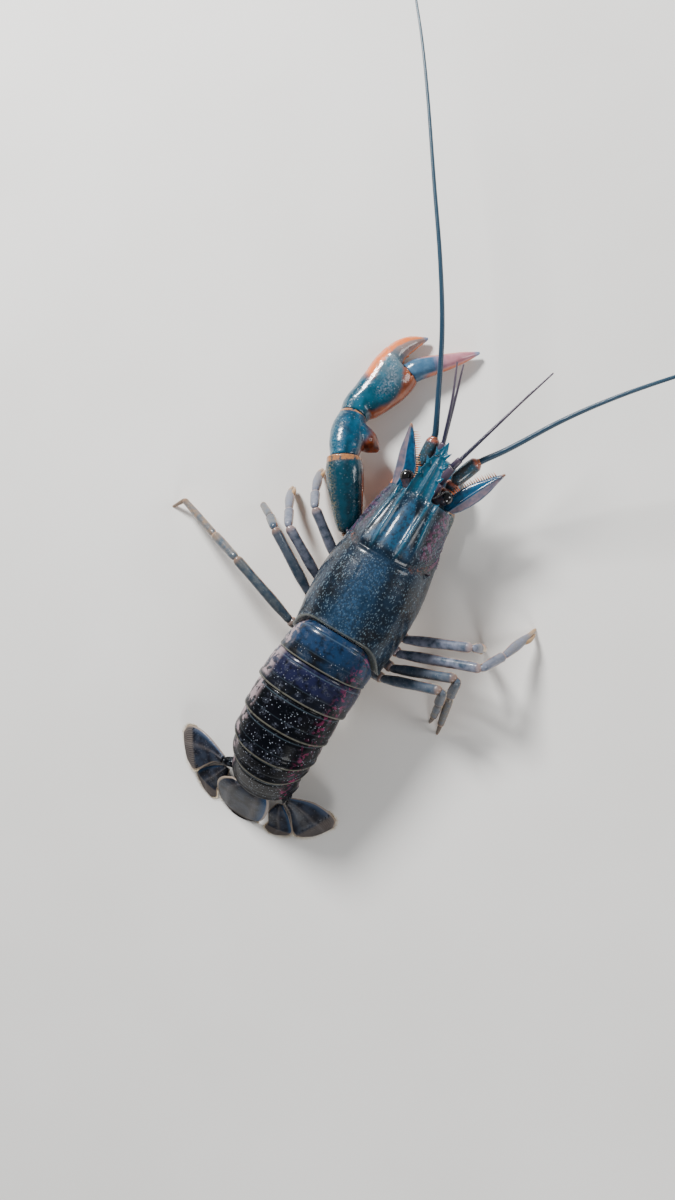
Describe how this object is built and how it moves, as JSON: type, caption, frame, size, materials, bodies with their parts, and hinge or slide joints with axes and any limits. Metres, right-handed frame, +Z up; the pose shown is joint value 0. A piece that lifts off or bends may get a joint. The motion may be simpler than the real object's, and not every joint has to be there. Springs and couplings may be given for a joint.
{
  "type": "redclaw crayfish model",
  "caption": "Life-size freshwater crayfish standing still: ridged carapace with a pointed rostrum, long feelers, banded abdomen, spread tail fan, claws forward and one folded under the head.",
  "frame": {"origin": "on the floor, under the middle of the box around the whole animal", "axes": "+X towards the animal's left, +Y towards its tail, +Z up; the head looks along -Y"},
  "size_m": [0.1784, 0.2406, 0.0375],
  "materials": {
    "shell_blue": "glossy wet shell",
    "abdomen_black": "glossy wet shell",
    "claw_teal": "glossy wet shell",
    "leg_slate": "satin shell",
    "feeler_blue": "satin shell",
    "belly_cream": "pale shell and skin",
    "eye_black": "polished",
    "stalk": "satin",
    "antennule_purple": "satin shell"
  },
  "bodies": {
    "root": {"antenna_left_far": "feeler_blue", "antenna_left_near": "feeler_blue", "antenna_peduncle_left": "feeler_blue", "antenna_peduncle_right": "feeler_blue", "antenna_right_far": "feeler_blue", "antenna_right_near": "feeler_blue", "antennule_left": "antennule_purple", "antennule_right": "antennule_purple", "carapace": "shell_blue", "cheliped_left_base": "claw_teal", "cheliped_left_carpus": "claw_teal", "cheliped_left_dactyl": "claw_teal", "cheliped_left_merus": "claw_teal", "cheliped_left_propodus": "claw_teal", "cheliped_right_base": "claw_teal", "cheliped_right_carpus": "claw_teal", "cheliped_right_dactyl": "claw_teal", "cheliped_right_merus": "claw_teal", "cheliped_right_propodus": "claw_teal", "eye_left": "eye_black", "eye_right": "eye_black", "eyestalk_left": "stalk", "eyestalk_right": "stalk", "leg_2_left_lower": "leg_slate", "leg_2_left_upper": "leg_slate", "leg_2_right_lower": "leg_slate", "leg_2_right_upper": "leg_slate", "leg_3_left_lower": "leg_slate", "leg_3_left_upper": "leg_slate", "leg_3_right_lower": "leg_slate", "leg_3_right_upper": "leg_slate", "leg_4_left_lower": "leg_slate", "leg_4_left_upper": "leg_slate", "leg_4_right_lower": "leg_slate", "leg_4_right_upper": "leg_slate", "leg_5_left_lower": "leg_slate", "leg_5_left_upper": "leg_slate", "leg_5_right_lower": "leg_slate", "leg_5_right_upper": "leg_slate", "maxilliped_left": "belly_cream", "maxilliped_right": "belly_cream", "scaphocerite_left": "feeler_blue", "scaphocerite_right": "feeler_blue", "somite_1": "abdomen_black", "somite_2": "abdomen_black", "somite_3": "abdomen_black", "somite_4": "abdomen_black", "somite_5": "abdomen_black", "somite_6": "abdomen_black", "sternum": "belly_cream", "telson": "abdomen_black", "uropod_left_base": "abdomen_black", "uropod_left_endopod": "abdomen_black", "uropod_left_exopod": "abdomen_black", "uropod_right_base": "abdomen_black", "uropod_right_endopod": "abdomen_black", "uropod_right_exopod": "abdomen_black"}
  },
  "joints": []
}
